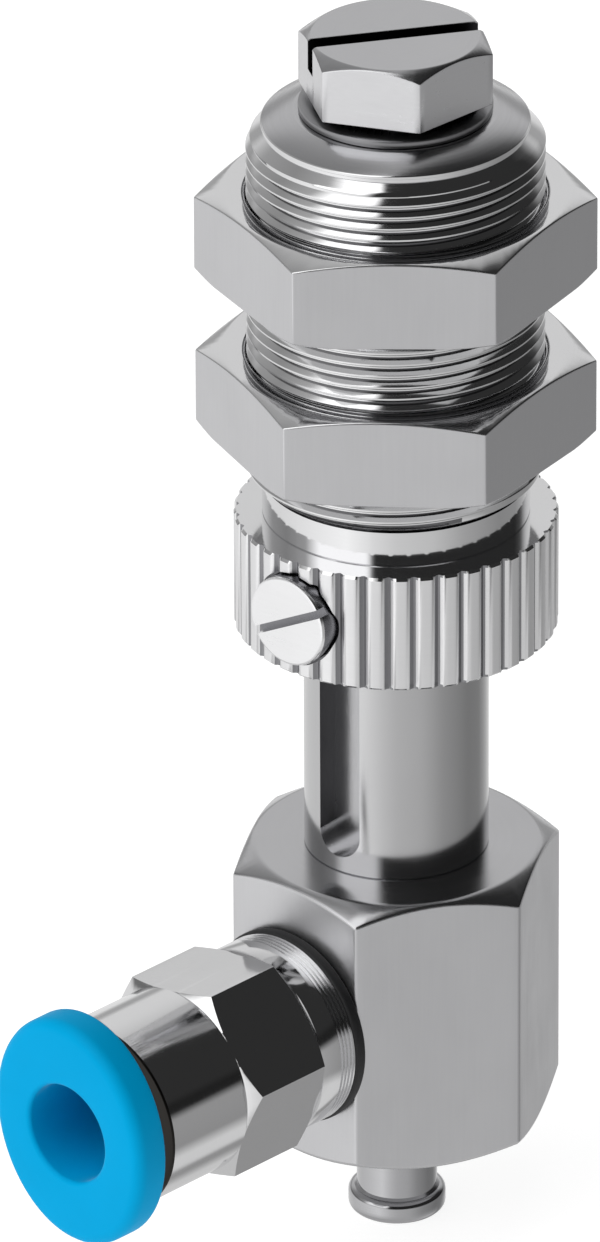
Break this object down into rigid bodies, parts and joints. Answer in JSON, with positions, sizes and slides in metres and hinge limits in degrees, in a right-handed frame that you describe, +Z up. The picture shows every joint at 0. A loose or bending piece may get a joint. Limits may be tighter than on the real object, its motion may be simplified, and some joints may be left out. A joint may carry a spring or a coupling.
{
  "type": "suction cup holder",
  "caption": "Spring-loaded suction cup holder: threaded guide sleeve with lock nuts, sliding plunger, hexagonal body, side push-in tube port and cup nipple.",
  "frame": {"origin": "on the main axis, level with the top face of the lower lock nut, where the bracket rests", "axes": "+Z up the plunger axis towards the stop screw; the tube port points along -Y"},
  "size_m": [0.0154, 0.0272, 0.053],
  "materials": {
    "nickel_plated_brass": "turned, bright nickel plate",
    "nickel_plated_nut": "sawn and faced hexagon bar, satin nickel plate",
    "nickel_plated_body": "drawn hexagon bar, satin nickel plate",
    "polished_nickel": "turned, bright nickel plate",
    "ground_steel": "ground and polished",
    "stainless_steel": "turned",
    "plated_screw_steel": "machined, bright zinc plate",
    "spring_steel": "drawn wire and pressed strip",
    "bearing_polymer": "machined dark bearing polymer",
    "nitrile_rubber": "moulded black nitrile rubber",
    "insert_brass": "turned brass",
    "blue_acetal": "moulded acetal, blue, semi-gloss"
  },
  "bodies": {
    "guide": {"guide_sleeve": "nickel_plated_brass", "knurled_ring": "nickel_plated_brass", "guide_screw": "stainless_steel", "upper_bush": "bearing_polymer", "lower_bush": "bearing_polymer", "compression_spring": "spring_steel"},
    "upper_nut": {"upper_lock_nut": "nickel_plated_nut"},
    "lower_nut": {"lower_lock_nut": "nickel_plated_nut"},
    "plunger": {"plunger_rod": "ground_steel", "spring_seat_washer": "stainless_steel", "stop_washer": "stainless_steel", "lock_washer": "spring_steel", "stop_screw": "plated_screw_steel", "hex_body": "nickel_plated_body", "rod_seal": "nitrile_rubber", "suction_nipple": "polished_nickel", "nipple_seal": "nitrile_rubber", "port_seal": "nitrile_rubber", "fitting_body": "polished_nickel", "tube_seal": "nitrile_rubber", "grab_ring": "spring_steel", "insert_bush": "insert_brass"},
    "release": {"release_ring": "blue_acetal"}
  },
  "joints": [
    {"name": "plunger_stroke", "type": "slide", "parent": "guide", "child": "plunger", "axis": [0, 0, 1], "range_m": [0, 0.01], "stiffness_N_per_m": 270, "springref_m": -0.006, "deforming": ["compression_spring"]},
    {"name": "upper_nut_travel", "type": "slide", "parent": "guide", "child": "upper_nut", "axis": [0, 0, 1], "range_m": [-0.0016, 0.0028]},
    {"name": "lower_nut_travel", "type": "slide", "parent": "guide", "child": "lower_nut", "axis": [0, 0, 1], "range_m": [-0.0019, 0.0016]},
    {"name": "release_push", "type": "slide", "parent": "plunger", "child": "release", "axis": [0, 1, 0], "range_m": [0, 0.00045], "stiffness_N_per_m": 3000, "springref_m": -0.0001}
  ]
}
